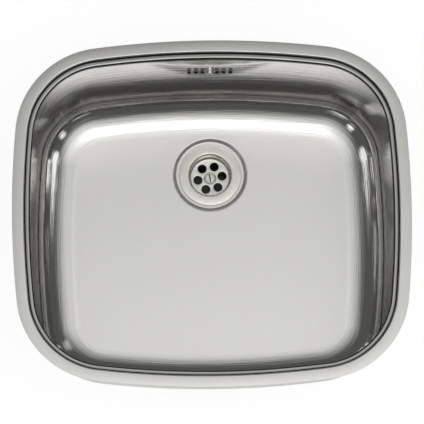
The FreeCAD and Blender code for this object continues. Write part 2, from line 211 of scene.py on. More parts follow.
def makeCamera(settings):
    data = bpy.data.cameras.new("camera")
    data.sensor_width = settings["sensor"]
    data.lens = settings["sensor"] * settings["distance"] / settings["frameWidth"]
    data.clip_end = settings["clipEnd"]
    camera = bpy.data.objects.new("camera", data)
    bpy.context.scene.collection.objects.link(camera)
    turn = Matrix.Identity(4)
    for angle, axis in (("yaw", "Z"), ("tilt", "X"), ("roll", "Z")):
        turn = turn @ Matrix.Rotation(math.radians(settings[angle]), 4, axis)
    right, above, back = (turn.to_3x3().col[i] for i in range(3))
    aim = (right * settings["lookAt"][0] + above * settings["lookAt"][1]) * mm
    camera.matrix_world = Matrix.Translation(aim + back * settings["distance"]) @ turn
    bpy.context.scene.camera = camera


# light: soft boxes hung level over the sink, and a few bright cards in a dim room with pale walls
lightSettings = {
    "boxes": {
        # height; left, right, front, back edge in metres; radiance, where 1 shows a white card as white;
        # shares of the box, from each side and from front and back, over which it fades
        "domeBox": (1.8, -1.8, 2.3, -2.3, 1.65, 1.0, (0.4, 0.5)),
        "keyBox": (1.7, -0.55, 0.85, -1.05, 0.2, 0.8, (0.5, 0.5)),
    },
    "room": 0.1,              # radiance overhead, between the boxes
    "walls": (77, 85, 0.75),  # degrees from straight up where they begin and are full; radiance
    "cards": {
        # degrees right of, and behind, straight up; degrees wide; radiance; how many times flatter than wide
        "leftWindow": (-54, 2, 8.5, 1.0, 1),
        "rightWindow": (57, 3, 8, 1.1, 1),
        "rightCard": (54, -28, 4.5, 1.2, 1),
        "leftLowCard": (-45, -34, 4.5, 1.3, 1),
        "backCard": (38, 34, 5, 0.5, 1),
        "frontLeft": (-30, -61, 17, 1.6, 4),
        "frontRight": (30, -62, 15, 1.1, 4),
    },
    "cardEdge": (0.8, 1.2),   # shares of a card's width over which its edge fades
}


def feather(light, shares):
    # fade the box towards its edges, as the cloth of a real soft box does
    light.use_nodes = True
    tree = light.node_tree
    spot = addNode(tree, "NewGeometry", out="Parametric")
    split = addNode(tree, "SeparateXYZ", links={0: spot}).node
    factors = []
    for axis, share in zip(("X", "Y"), shares):
        middle = addNode(tree, "Math", {"operation": "SUBTRACT", 1: 0.5}, {0: split.outputs[axis]})
        away = addNode(tree, "Math", {"operation": "ABSOLUTE"}, {0: middle})
        factors.append(addNode(tree, "MapRange", {
            "interpolation_type": "SMOOTHSTEP", "From Min": 0.5 - share, "From Max": 0.5,
            "To Min": 1.0, "To Max": 0.0}, {"Value": away}))
    both = addNode(tree, "Math", {"operation": "MULTIPLY"}, dict(enumerate(factors)))
    tree.links.new(both, tree.nodes["Emission"].inputs["Strength"])


def makeLights(settings):
    for name, (height, left, right, front, back, radiance, fade) in settings["boxes"].items():
        light = bpy.data.lights.new(name, "AREA")
        light.shape = "RECTANGLE"
        light.size = right - left
        light.size_y = back - front
        light.energy = radiance * math.pi * light.size * light.size_y
        feather(light, fade)
        lamp = bpy.data.objects.new(name, light)
        lamp.location = ((left + right) / 2, (front + back) / 2, height)
        lamp.visible_camera = False
        bpy.context.scene.collection.objects.link(lamp)


def makeWorld(settings):
    # each card is a round glow about its own direction
    world = bpy.data.worlds.new("studio")
    world.use_nodes = True
    bpy.context.scene.world = world
    tree = world.node_tree
    tree.nodes.clear()
    look = addNode(tree, "TexCoord", out="Generated")
    begin, full, wallLight = settings["walls"]
    height = addNode(tree, "SeparateXYZ", links={0: look}, out="Z")
    total = addNode(tree, "MapRange", {
        "From Min": math.cos(math.radians(full)), "From Max": math.cos(math.radians(begin)),
        "To Min": wallLight, "To Max": settings["room"]}, {"Value": height})
    for right, behind, width, radiance, flatness in settings["cards"].values():
        away = math.radians(math.hypot(right, behind))
        turn = math.atan2(behind, right)
        aim = (math.sin(away) * math.cos(turn), math.sin(away) * math.sin(turn), math.cos(away))
        off = addNode(tree, "VectorMath", {"operation": "SUBTRACT", 1: aim}, {0: look})
        off = addNode(tree, "VectorMath", {"operation": "MULTIPLY", 1: (1, 1, flatness)}, {0: off})
        off = addNode(tree, "VectorMath", {"operation": "LENGTH"}, {0: off}, "Value")
        near, far = (math.radians(width) * share for share in settings["cardEdge"])
        glow = addNode(tree, "MapRange", {
            "interpolation_type": "SMOOTHSTEP", "From Min": near, "From Max": far,
            "To Min": radiance, "To Max": 0.0}, {"Value": off})
        total = addNode(tree, "Math", {"operation": "ADD"}, {0: total, 1: glow})
    back = addNode(tree, "Background", {"Color": "#FFFFFF"}, {"Strength": total})
    addNode(tree, "OutputWorld", links={"Surface": back})


floorSettings = {
    "paint": "#B4B4B4",
    "roughness": 0.9,
    "reach": 14.0,                          # metres from the middle to each edge
    "lift": 0.82,                           # light that the floor gives of itself, so that it shows white
    "givenLight": 0.6,                      # share of it that lights the plastics from below
    "outlet": (0, 0.0815, cadBox[0].z),     # metres; the waste stands here
    "shade": (0.025, 0.10),                 # metres from the outlet over which the deep shadow painted under it clears
}


def makeFloor(settings):
    # matt pale paint, lifted to white for the camera and for reflections; it still takes the soft shadow, and
    # a deep shadow is painted under the outlet by taking the lift away there
    bm = bmesh.new()
    bmesh.ops.create_grid(bm, x_segments=1, y_segments=1, size=settings["reach"])
    bmesh.ops.translate(bm, vec=(0, 0, cadBox[0].z), verts=bm.verts)
    material, tree, shader = newMaterial("mattPaint", Roughness=settings["roughness"])
    shader.inputs["Base Color"].default_value = hexColour(settings["paint"])
    shader.inputs["Emission Color"].default_value = hexColour("#FFFFFF")
    path = addNode(tree, "LightPath").node
    seen = addNode(tree, "Math", {"operation": "MAXIMUM", 1: settings["givenLight"]},
                   {0: path.outputs["Is Camera Ray"]})
    for ray in ("Is Glossy Ray", "Is Transmission Ray"):
        seen = addNode(tree, "Math", {"operation": "MAXIMUM"}, {0: seen, 1: path.outputs[ray]})
    place = addNode(tree, "TexCoord", out="Object")
    away = addNode(tree, "VectorMath", {"operation": "DISTANCE", 1: settings["outlet"]}, {0: place},
                   "Value")
    near, far = settings["shade"]
    # painted shadow: the floor's own light fades to nothing near the outlet
    clear = addNode(tree, "MapRange", {
        "interpolation_type": "SMOOTHSTEP", "From Min": near, "From Max": far,
        "To Min": 0.0, "To Max": settings["lift"]}, {"Value": away})
    lift = addNode(tree, "Math", {"operation": "MULTIPLY"}, {0: seen, 1: clear})
    feed(tree, shader, Emission_Strength=lift)
    floor = newPiece("floor", bm, [material])


makeCamera(cameraSettings)
makeLights(lightSettings)
makeWorld(lightSettings)
makeFloor(floorSettings)
bpy.context.scene.view_settings.view_transform = "Standard"
print("camera, light and floor are in place")

bowlFinish = {
    "wallSteel": "#DFDEDB",
    "floorSteel": ("#F1F0EE", "#F8F7F5"),
    "rimSteel": ("#D6D5D2", "#E0DFDC"),
    "backSteel": ("#B4B4B1", "#C6C5C2"),
    # dark tone painted as shade into the rim's two tight bends and the ledge between them
    "paintedCreaseShade": "#3A3A38",
    "wallRoughness": 0.06,
    "floorRoughness": (0.37, 0.43),
    "rimRoughness": (0.35, 0.41),
    "backRoughness": (0.3, 0.4),
    "backCloud": 71.4,                      # mm across a patch of the rolled back
    "groundTo": (11.7, -0.2),               # mm in from the edge, and mm high, where the ground rim ends
    "creases": ((14.2, 1.3), (19.3, 1.2)),  # mm in from the edge, and half width, of the two tight bends
    "creaseShadeEnd": -10.4,                     # mm high, where the painted shade of the lower crease ends
    "ledgeShade": 0.4,                      # share of that painted shade on the ledge between the creases
    "blend": (62.5, 68.5),                  # mm in from the edge, where the polish gives way to satin
    "ripples": ((1.2, 30.0, 0.08), (5.5, 160.0, 0.12)),  # mm: pitch down the wall, length round it, depth
}
hairlineSizes = {
    # a real grinding scratch is about 0.05 mm wide; these are drawn ten times as coarse, so that they show
    "wide": 0.5, "long": 45.0, "turns": (28.0, -44.8),   # mm, and degrees from the front-back line
    "cloud": (55, 80, 55), "cloudShare": 1.6,            # mm across a patch, and its weight in the tone
    "depth": 0.02, "strength": 0.5,                      # mm, and how far the light follows it
    "tintSpan": (1.3, 2.3), "roughSpan": (1.2, 2.4),     # parts of the pattern's range that are used
}


def stretched(tree, size, turn, seed=0.0, detail=3.0):
    # noise whose features measure size = (x, y, z) in mm, turned about Z
    place = addNode(tree, "TexCoord", out="Object")
    spun = addNode(tree, "VectorRotate", {"rotation_type": "Z_AXIS", "Angle": math.radians(turn)},
                   {"Vector": place})
    scaled = addNode(tree, "Mapping", {"Scale": [1 / (length * mm) for length in size],
                                       "Location": (seed, seed, seed)}, {"Vector": spun})
    return addNode(tree, "TexNoise", {"Scale": 1.0, "Detail": detail, "Roughness": 0.55},
                   {"Vector": scaled}, "Fac")


def hairlines(tree, tones, roughness):
    # two sets of fine scratches that cross, on a slow cloud; gives their colour, roughness and relief
    h = hairlineSizes
    turn, crossTurn = h["turns"]
    hair = stretched(tree, (h["wide"], h["long"], h["wide"]), turn)
    cross = stretched(tree, (h["wide"], h["long"], h["wide"]), crossTurn, 5.0)
    cloud = stretched(tree, h["cloud"], turn, 2.0, 4.0)
    both = addNode(tree, "Math", {"operation": "ADD"}, {0: hair, 1: cross})
    tone = addNode(tree, "Math", {"operation": "MULTIPLY_ADD", 1: h["cloudShare"]}, {0: cloud, 2: both})
    share = addNode(tree, "MapRange", dict(zip(("From Min", "From Max"), h["tintSpan"])), {"Value": tone})
    tint = addNode(tree, "Mix", {"data_type": "RGBA", "A": tones[0], "B": tones[1]}, {"Factor": share},
                   "Result")
    rough = addNode(tree, "MapRange", dict(zip(("From Min", "From Max", "To Min", "To Max"),
                                               h["roughSpan"] + roughness)), {"Value": tone})
    relief = addNode(tree, "Bump", {"Strength": h["strength"], "Distance": h["depth"] * mm},
                     {"Height": both})
    return tint, rough, relief


def makeBuffedStainless(finish):
    # drawn 18/10 stainless: walls buffed mirror-like over the fine rings that drawing leaves, and a
    # floor of soft satin; the two run into each other where the fillet meets the floor
    material, tree, shader = newMaterial("buffedStainless", Metallic=1.0)
    satin, creaseShadeShare, down = (addNode(tree, "Attribute", {"attribute_name": name}, out="Fac")
                           for name in ("satin", "creaseShadeShare", "down"))
    tint, spread, normal = hairlines(tree, finish["floorSteel"], finish["floorRoughness"])
    clean = addNode(tree, "Mix", {"data_type": "RGBA", "A": finish["wallSteel"]},
                    {"Factor": satin, "B": tint}, "Result")
    # painted shade: the colour runs down to a dark tone in the rim's tight bends
    colour = addNode(tree, "Mix", {"data_type": "RGBA", "B": finish["paintedCreaseShade"]},
                     {"Factor": creaseShadeShare, "A": clean}, "Result")
    more = addNode(tree, "Math", {"operation": "SUBTRACT", 1: finish["wallRoughness"]}, {0: spread})
    rough = addNode(tree, "Math", {"operation": "MULTIPLY_ADD", 2: finish["wallRoughness"]},
                    {0: satin, 1: more})
    place = addNode(tree, "TexCoord", out="Object")
    split = addNode(tree, "SeparateXYZ", links={0: place}).node
    path = addNode(tree, "CombineXYZ", links={"X": split.outputs["X"], "Y": split.outputs["Y"], "Z": down})
    polish = addNode(tree, "MapRange", {"To Min": 1.0, "To Max": 0.0}, {"Value": satin})
    for seed, (pitch, length, depth) in enumerate(finish["ripples"]):
        scaled = addNode(tree, "Mapping", {
            "Scale": [1 / (size * mm) for size in (length, length, pitch)],
            "Location": (seed * 7, seed * 3, seed)}, {"Vector": path})
        rings = addNode(tree, "TexNoise", {"Scale": 1.0, "Detail": 1.5, "Roughness": 0.4},
                        {"Vector": scaled}, "Fac")
        normal = addNode(tree, "Bump", {"Distance": depth * mm},
                         {"Height": rings, "Strength": polish, "Normal": normal})
    feed(tree, shader, Base_Color=colour, Roughness=rough, Normal=normal)
    return material


def makeGroundStainless(finish):
    # the rim's flat, left as the belt grinder finished it: satin with crossing hairlines
    material, tree, shader = newMaterial("groundStainless", Metallic=1.0, Anisotropic=0.2)
    tint, rough, relief = hairlines(tree, finish["rimSteel"], finish["rimRoughness"])
    feed(tree, shader, Base_Color=tint, Roughness=rough, Normal=relief)
    return material


def makeRolledStainless(finish):
    # the back of the sheet as the mill rolled it, never polished: even, soft and slightly cloudy
    material, tree, shader = newMaterial("rolledStainless", Metallic=1.0)
    place = addNode(tree, "TexCoord", out="Object")
    cloud = addNode(tree, "TexNoise", {"Scale": 1 / (finish["backCloud"] * mm), "Detail": 5.0},
                    {"Vector": place}, "Fac")
    dark, light = finish["backSteel"]
    tint = addNode(tree, "Mix", {"data_type": "RGBA", "A": dark, "B": light}, {"Factor": cloud}, "Result")
    low, high = finish["backRoughness"]
    rough = addNode(tree, "MapRange", noiseSpan | {"To Min": low, "To Max": high}, {"Value": cloud})
    feed(tree, shader, Base_Color=tint, Roughness=rough)
    return material


bowlMaterials = [make(bowlFinish) for make in (makeBuffedStainless, makeRolledStainless, makeGroundStainless)]
buffed, rolled, ground = range(3)
bowlSizes = {
    # the outline: side arcs that bulge, joined by tangent corner arcs
    "length": 440.0, "width": 390.0, "sideRadius": 1030.0, "cornerRadius": 100.0,
    "sideColumns": 18, "cornerColumns": 30, "backColumns": 110, "frontColumns": 20,
    # the section: flat rim, step, ledge, drafted wall, two floor bends
    "sheet": 0.8, "edgeRound": 0.3, "rimFlat": 12.9, "stepRun": 1.1, "ledgeDepth": 5.2, "wallTop": 19.755,
    "draft": 3.0, "depth": 175.0, "bendTurn": 52.0, "floorInset": 70.4,
    "bends": (1.6, 1.4, 2.8, 18.0, 58.5), "bendSteps": (8, 8, 14, 24, 26),
    "wallRun": 60.0,                                    # a straight run longer than this is the wall
    "wallRows": ((30.0, 0.8), (74.0, 1.6), (175.0, 6.0)),  # mm deep, and the height of a row down to there
    # the seat pressed for the waste: (radius, height over the floor)
    "wasteY": 81.5, "seat": ((43.0, 0.0), (41.5, 0.0), (38.2, -3.2), (26.5, -3.2)),
    "seatBends": (3.0, 2.0), "seatSteps": (8, 8), "seatColumns": 96,
    "sharpAngle": 40,
}
overflowSizes = {
    "flatDraft": 0.5, "flatEnd": 68.0, "shoulderTop": 8.7, "shoulderDraft": 11.6,
    "edgeSoftness": 0.9, "footSoftness": 0.36,          # where flat meets shoulder; where both meet the wall
    "pressedHalf": 85.0, "pressedDepths": (7.2, 90.0),  # the press worked only inside these
    "depth": 50.0, "slots": (8.0, 15.5, 23.0), "slotWidth": 4.0, "slotHeight": 28.0, "slotCorner": 1.0,
    "screwHole": 2.8, "cutFrom": -4.0, "cutTo": 6.0, "cornerSteps": 6,
    "gapShadeEdge": 4.0, "gapShadeSoftness": 0.6,                   # mm behind the flat, where the housing closes on it and the painted shade in the gap ends
}


def slope(degrees):
    return math.tan(math.radians(degrees))


def cornerCentre(s):
    # centre of the corner arc, which touches both neighbouring side arcs from inside
    reach = s["sideRadius"] - s["cornerRadius"]
    back = s["sideRadius"] - s["width"] / 2
    side = s["sideRadius"] - s["length"] / 2
    k = side / back
    c = (side ** 2 - back ** 2) / (2 * back) + back
    a, b = 1 + k * k, 2 * k * c
    x = (-b + math.sqrt(b * b - 4 * a * (c * c - reach ** 2))) / (2 * a)
    return x, k * x + c - back


def rimColumns(s):
    # (centre, radius, direction, is on the back) for each upright column of the bowl's mesh
    cx, cy = cornerCentre(s)
    sideShift = s["sideRadius"] - s["length"] / 2
    backShift = s["sideRadius"] - s["width"] / 2
    low = math.atan2(cy, cx + sideShift)
    high = math.atan2(cy + backShift, cx)
    side, corner = (s["sideRadius"], s["sideColumns"]), (s["cornerRadius"], s["cornerColumns"])
    back, front = (s["sideRadius"], s["backColumns"]), (s["sideRadius"], s["frontColumns"])
    arcs = [
        ((-sideShift, 0), *side, -low, low),
        ((cx, cy), *corner, low, high),
        ((0, -backShift), *back, high, math.pi - high),
        ((-cx, cy), *corner, math.pi - high, math.pi - low),
        ((sideShift, 0), *side, math.pi - low, math.pi + low),
        ((-cx, -cy), *corner, math.pi + low, math.pi + high),
        ((0, backShift), *front, math.pi + high, 2 * math.pi - high),
        ((cx, -cy), *corner, -high, -low),
    ]
    columns = []
    for n, (centre, radius, steps, start, end) in enumerate(arcs):
        for k in range(steps):
            turn = start + (end - start) * k / steps
            columns.append((Vector(centre), radius, Vector((math.cos(turn), math.sin(turn))), n == 2))
    return columns


def wallInset(depth):
    s = bowlSizes
    return s["wallTop"] + slope(s["draft"]) * (depth - s["ledgeDepth"])


def flatY(depth):
    # inner face of the pressed flat around the slots
    s = overflowSizes
    return bowlSizes["width"] / 2 - wallInset(s["flatEnd"]) + slope(s["flatDraft"]) * (s["flatEnd"] - depth)


def smoothMin(a, b, soft):
    h = max(soft - abs(a - b), 0) / soft
    return min(a, b) - h * h * soft / 4


def pressedDepth(y, depth):
    # how far the overflow flat stands in front of the drafted wall at one point of it
    s = overflowSizes
    behindFlat = y - flatY(depth)
    behindShoulder = (depth - s["shoulderTop"]) * (slope(s["shoulderDraft"]) - slope(bowlSizes["draft"]))
    both = smoothMin(behindFlat, behindShoulder, s["edgeSoftness"])
    return -smoothMin(-both, 0, s["footSoftness"])


def bowlRows(s):
    # the section from the rim's outer edge to the flat floor: (inset, z) points
    turn = math.radians(s["bendTurn"])
    slant = (s["bends"][3] * slope((s["bendTurn"] - s["draft"]) / 2)
             + s["bends"][4] * slope((90 - s["bendTurn"]) / 2))
    low = s["depth"] - slant * math.cos(turn)
    corners = [(0, 0), (s["rimFlat"], 0), (s["rimFlat"] + s["stepRun"], -s["ledgeDepth"]),
               (s["wallTop"], -s["ledgeDepth"]), (wallInset(low), -low),
               (wallInset(low) + slant * math.sin(turn), -s["depth"]), (s["floorInset"], -s["depth"])]
    path = roundedPath(corners, s["bends"], s["bendSteps"])
    rows = []
    for a, b in zip(path, path[1:]):
        depth = -a.y
        rows.append(a)
        while (b - a).length > s["wallRun"]:  # close rows at the overflow, wider below it
            depth += next(high for end, high in s["wallRows"] if depth < end)
            if depth >= -b.y:
                break
            rows.append(a.lerp(b, (depth + a.y) / (a.y - b.y)))
    rows.append(path[-1])
    return rows


def bowlPath(s):
    # once round the sheet's section, from the floor's underside to its face: (inset, z, depth, is outside)
    rows = bowlRows(s)
    normals = pathNormals(rows)
    normals[1] = Vector((0, 1))
    under = [(row - n * s["sheet"], -row.y) for row, n in zip(rows, normals)]
    path = [(spot.x, spot.y, depth, True) for spot, depth in under[:0:-1]]
    arris = edgeRound(s["edgeRound"], 4)
    path += [(inward, low - s["sheet"], 0, k < 4) for k, (inward, low) in enumerate(arris)]
    path += [(inward, -low, 0, False) for inward, low in reversed(arris)]
    return path + [(row.x, row.y, -row.y, False) for row in rows[1:]]


def finishAt(inset, z, outside):
    # shares of the floor's satin and of the shade painted into the creases
    f = bowlFinish
    start, end = f["blend"]
    share = min(max((inset - start) / (end - start), 0), 1)
    creaseShadeShare = 0
    if not outside and z > f["creaseShadeEnd"]:
        creaseShadeShare = max(1 - ((inset - at) / half) ** 4 for at, half in f["creases"])
        if f["creases"][0][0] < inset < f["creases"][1][0]:
            creaseShadeShare = max(creaseShadeShare, f["ledgeShade"])
    return share * share * (3 - 2 * share), max(creaseShadeShare, 0)


def makeBowl():
    s = bowlSizes
    columns = rimColumns(s)
    bm = bmesh.new()
    # per vertex: distance down the section, share of satin, and share of painted shade in the creases
    layers = [bm.verts.layers.float.new(name) for name in ("down", "satin", "creaseShadeShare")]

    def spot(column, inset, z, depth):
        centre, radius, direction, onBack = column
        x, y = centre + direction * (radius - inset)
        start, end = overflowSizes["pressedDepths"]
        if onBack and abs(x) < overflowSizes["pressedHalf"] and start < depth < end:
            wall = centre + direction * (radius - wallInset(depth))
            y -= pressedDepth(wall.y, depth)
        return bm.verts.new((x * mm, y * mm, z * mm))

    def mark(ring, *values):
        for vert in ring:
            for layer, value in zip(layers, values):
                vert[layer] = value

    path = bowlPath(s)
    rings = [[spot(column, *p[:3]) for column in columns] for p in path]
    down = 0.0
    for i, (ring, (inset, z, _, outside)) in enumerate(zip(rings, path)):
        down += math.dist((inset, z), path[max(i - 1, 0)][:2]) * mm
        mark(ring, down, *finishAt(inset, z, outside))

    def rowMaterial(row):
        inset, z, _, outside = path[row]
        groundInset, groundZ = bowlFinish["groundTo"]
        return rolled if outside else ground if z > groundZ and inset < groundInset else buffed

    ringFaces(bm, rings, material=rowMaterial)
    # the seat: its face, then back along the underside
    seat = roundedPath(s["seat"], s["seatBends"], s["seatSteps"])
    normals = [-n for n in pathNormals(seat)]
    normals[0] = normals[-1] = Vector((0, 1))
    under = [p - n * s["sheet"] for p, n in zip(seat, normals)]
    seatRings = turnedRings(bm, seat + under[::-1], s["seatColumns"], (0, s["wasteY"], -s["depth"]))
    for ring in seatRings:
        mark(ring, down, 1.0)
    ringFaces(bm, seatRings[::-1], material=lambda row: rolled if row < len(seat) else buffed)
    fillBetween(bm, [rings[-1], seatRings[0]], True, buffed)
    fillBetween(bm, [rings[0], seatRings[-1]], False, rolled)
    bmesh.ops.recalc_face_normals(bm, faces=bm.faces)
    return newPiece("bowl_steel", bm, bowlMaterials, s["sharpAngle"])


def roundedSlot(bm, width, height, corner, place):
    # an upright prism with rounded corners, for cutting
    s = overflowSizes
    outline = []
    for k, (side, rise) in enumerate(((1, 1), (-1, 1), (-1, -1), (1, -1))):
        for step in range(s["cornerSteps"] + 1):
            turn = quarter * (k + step / s["cornerSteps"])
            outline.append((side * (width / 2 - corner) + corner * math.cos(turn),
                            rise * (height / 2 - corner) + corner * math.sin(turn)))
    ends = [[bm.verts.new(place @ Vector((x, y, z)) * mm) for x, z in outline]
            for y in (s["cutFrom"], s["cutTo"])]
    ringFaces(bm, ends)
    bm.faces.new(ends[0])
    bm.faces.new(ends[1][::-1])


def overflowPlace():
    s = overflowSizes
    return (Matrix.Translation((0, flatY(s["depth"]), -s["depth"]))
            @ Matrix.Rotation(math.radians(-s["flatDraft"]), 4, "X"))


def cutSlots(bowl):
    s = overflowSizes
    bm = bmesh.new()
    for x in s["slots"]:
        for side in (-1, 1):
            roundedSlot(bm, s["slotWidth"], s["slotHeight"], s["slotCorner"],
                        overflowPlace() @ Matrix.Translation((side * x, 0, 0)))
    hole = s["screwHole"]
    roundedSlot(bm, 2 * hole, 2 * hole, hole - 0.01, overflowPlace())  # all but round
    bmesh.ops.recalc_face_normals(bm, faces=bm.faces)
    cutter = newPiece("slotCutter", bm, [bowlMaterials[rolled]])
    cutWith(bowl, cutter)
    applyModifiers(bowl)
    bpy.data.objects.remove(cutter)
    shadeSmooth(bowl, bowlSizes["sharpAngle"])


bowl = makeBowl()
cutSlots(bowl)
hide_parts("bowl")
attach(bowl, "basin")
print("bowl:", len(bowl.data.polygons), "faces")

pieceFinishes = {
    # light and dark tone; mm across a patch; roughness of each; metallic; grit: mm deep and mm across
    # pressed and bead-blasted stainless: bright and slightly warm, so the flange lifts off the floor
    "pressedStainless": ("#EDECE5", "#E4E3DC", 8.33, (0.26, 0.32), 1.0, None),
    # turned and tumbled stainless: soft bright edges
    "turnedStainless": ("#EEEDE9", "#DDDCD8", 2.5, (0.24, 0.36), 1.0, None),
    # dark steel for a driver slot: painted shade that keeps the slot dark from every side
    "slotShadeSteel": ("#6A6966", "#4C4B49", 2.0, (0.4, 0.6), 1.0, None),
    # machined brass, slightly dulled: warm yellow with a soft shine
    "machinedBrass": ("#C9A65A", "#A8853F", 3.33, (0.28, 0.42), 1.0, None),
    # moulded white polypropylene: faint gloss; its spark texture is drawn coarser than real, so it shows
    "mouldedPolypropylene": ("#E4E4E0", "#DADAD5", 16.7, (0.42, 0.5), 0.0, (0.05, 0.455)),
    # the same, a shade whiter, for the overflow's shell, which takes painted shade in the gap behind the
    # sheet
    "mouldedShellPolypropylene": ("#F4F4F0", "#ECECE8", 16.7, (0.42, 0.5), 0.0, (0.05, 0.455)),
    # moulded grey nylon, a touch glossier where fingers turn it; its texture is drawn coarse too
    "mouldedNylon": ("#B9BAB8", "#A9AAA8", 11.1, (0.36, 0.46), 0.0, (0.04, 0.385)),
    # blown polyethylene: waxy and pale, with soft flow marks
    "blownPolyethylene": ("#D3D4D1", "#C2C3C0", 22.2, (0.38, 0.48), 0.0, (0.03, 1.11)),
    # moulded black EPDM with bloom: greyer in patches
    "mouldedRubber": ("#2E2E2D", "#191919", 6.25, (0.6, 0.8), 0.0, (0.06, 0.667)),
    # bitumen sheet, hot-pressed: coarse pebbled skin with dull sheen
    "pressedBitumen": ("#3A3938", "#262525", 33.3, (0.55, 0.75), 0.0, (0.5, 2.38)),
}


def mottled(name, light, dark, patch, roughness, metallic, grit):
    # two close tones in a cloudy pattern, with roughness and fine relief to match
    material, tree, shader = newMaterial(name, Metallic=metallic)
    place = addNode(tree, "TexCoord", out="Object")
    cloud = addNode(tree, "TexNoise", {"Scale": 1 / (patch * mm), "Detail": 4.0, "Roughness": 0.55},
                    {"Vector": place}, "Fac")
    share = addNode(tree, "MapRange", noiseSpan, {"Value": cloud})
    tint = addNode(tree, "Mix", {"data_type": "RGBA", "A": dark, "B": light}, {"Factor": share}, "Result")
    rough = addNode(tree, "MapRange", noiseSpan | {"To Min": roughness[1], "To Max": roughness[0]},
                    {"Value": cloud})
    feed(tree, shader, Base_Color=tint, Roughness=rough)
    if grit:
        deep, across = grit
        grain = addNode(tree, "TexNoise", {"Scale": 1 / (across * mm), "Detail": 3.0, "Roughness": 0.6},
                        {"Vector": place}, "Fac")
        feed(tree, shader, Normal=addNode(tree, "Bump", {"Distance": deep * mm}, {"Height": grain}))
    return material


def paintShade(material, colour, where):
    # paint shade into the base colour: run it down to a dark one where the factor, built from object
    # coordinates, is high
    tree = material.node_tree
    shader = tree.nodes["Principled BSDF"]
    clean = shader.inputs["Base Color"].links[0].from_socket
    place = addNode(tree, "TexCoord", out="Object")
    feed(tree, shader, Base_Color=addNode(tree, "Mix", {"data_type": "RGBA", "B": colour},
                                          {"Factor": where(tree, place), "A": clean}, "Result"))


wasteSizes = {
    "flangeTop": -176.0, "gridTop": -192.5, "dishFloor": -194.0, "sheet": 1.0,
    "flangeRadius": 35.0, "cupRadius": 23.0, "rimRound": 0.4, "rimSteps": 8,
    "cupBends": (2.2, 2.5), "cupSteps": (10, 8), "cupColumns": 96, "cupFoot": 20.1,
    "dish": 5.65, "dishTop": 6.85, "dishRing": 7.65, "shankHole": 3.4,
    "dishBends": (1.1, 0.5), "dishSteps": (6, 5), "dishColumns": 64,
    "holes": 6, "holeRadius": 5.0, "circle": 13.75, "turn": 9.4, "holeColumns": 40,
    "holeRounds": ((0.3, 5), (0.12, 3)),  # radius and steps of each hole's upper and lower arris
    "sharpAngle": 38,
    "bore": (-217.5, 21.9, 27.5),         # height where the chamber narrows; radii of outlet and chamber
    "boreSoftness": (1.0, 0.4),           # mm over which the dark fades, up and across
}


def insideWaste(tree, place):
    # 1 inside the chamber and the outlet, 0 on every outer face: where shade is painted
    s = wasteSizes
    outletZ, outletWall, chamberWall = (value * mm for value in s["bore"])
    upSoft, acrossSoft = (value * mm for value in s["boreSoftness"])
    middle = addNode(tree, "VectorMath", {"operation": "SUBTRACT", 1: (0, bowlSizes["wasteY"] * mm, 0)},
                     {0: place})
    split = addNode(tree, "SeparateXYZ", links={0: middle}).node
    flat = addNode(tree, "CombineXYZ", links={axis: split.outputs[axis] for axis in ("X", "Y")})
    far = addNode(tree, "VectorMath", {"operation": "LENGTH"}, {0: flat}, "Value")
    wall = addNode(tree, "MapRange", {
        "From Min": outletZ - upSoft, "From Max": outletZ + upSoft,
        "To Min": outletWall, "To Max": chamberWall}, {"Value": split.outputs["Z"]})
    within = addNode(tree, "Math", {"operation": "SUBTRACT"}, {0: wall, 1: far})
    return addNode(tree, "MapRange", {"From Min": -acrossSoft, "From Max": acrossSoft}, {"Value": within})


def nearSheet(tree, place):
    # 1 in the gap right behind the bowl's sheet, 0 further back: where shade is painted onto the overflow's
    # housing
    s = overflowSizes
    y = addNode(tree, "SeparateXYZ", links={0: place}, out="Y")
    gapShadeEdge = flatY(s["depth"]) + s["gapShadeEdge"]
    near, far = (gapShadeEdge - s["gapShadeSoftness"]) * mm, (gapShadeEdge + s["gapShadeSoftness"]) * mm
    return addNode(tree, "MapRange", {"From Min": near, "From Max": far, "To Min": 1.0, "To Max": 0.0},
                   {"Value": y})


finishes = {name: mottled(name, *values) for name, values in pieceFinishes.items()}
# painted shade inside the waste's chamber and outlet, where the white plastic runs down to near black
paintShade(finishes["mouldedPolypropylene"], "#1C1C1B", insideWaste)
# painted shade on the overflow's housing in the gap right behind the bowl's sheet
paintShade(finishes["mouldedShellPolypropylene"], "#161616", nearSheet)
print("finishes are made:", len(finishes))


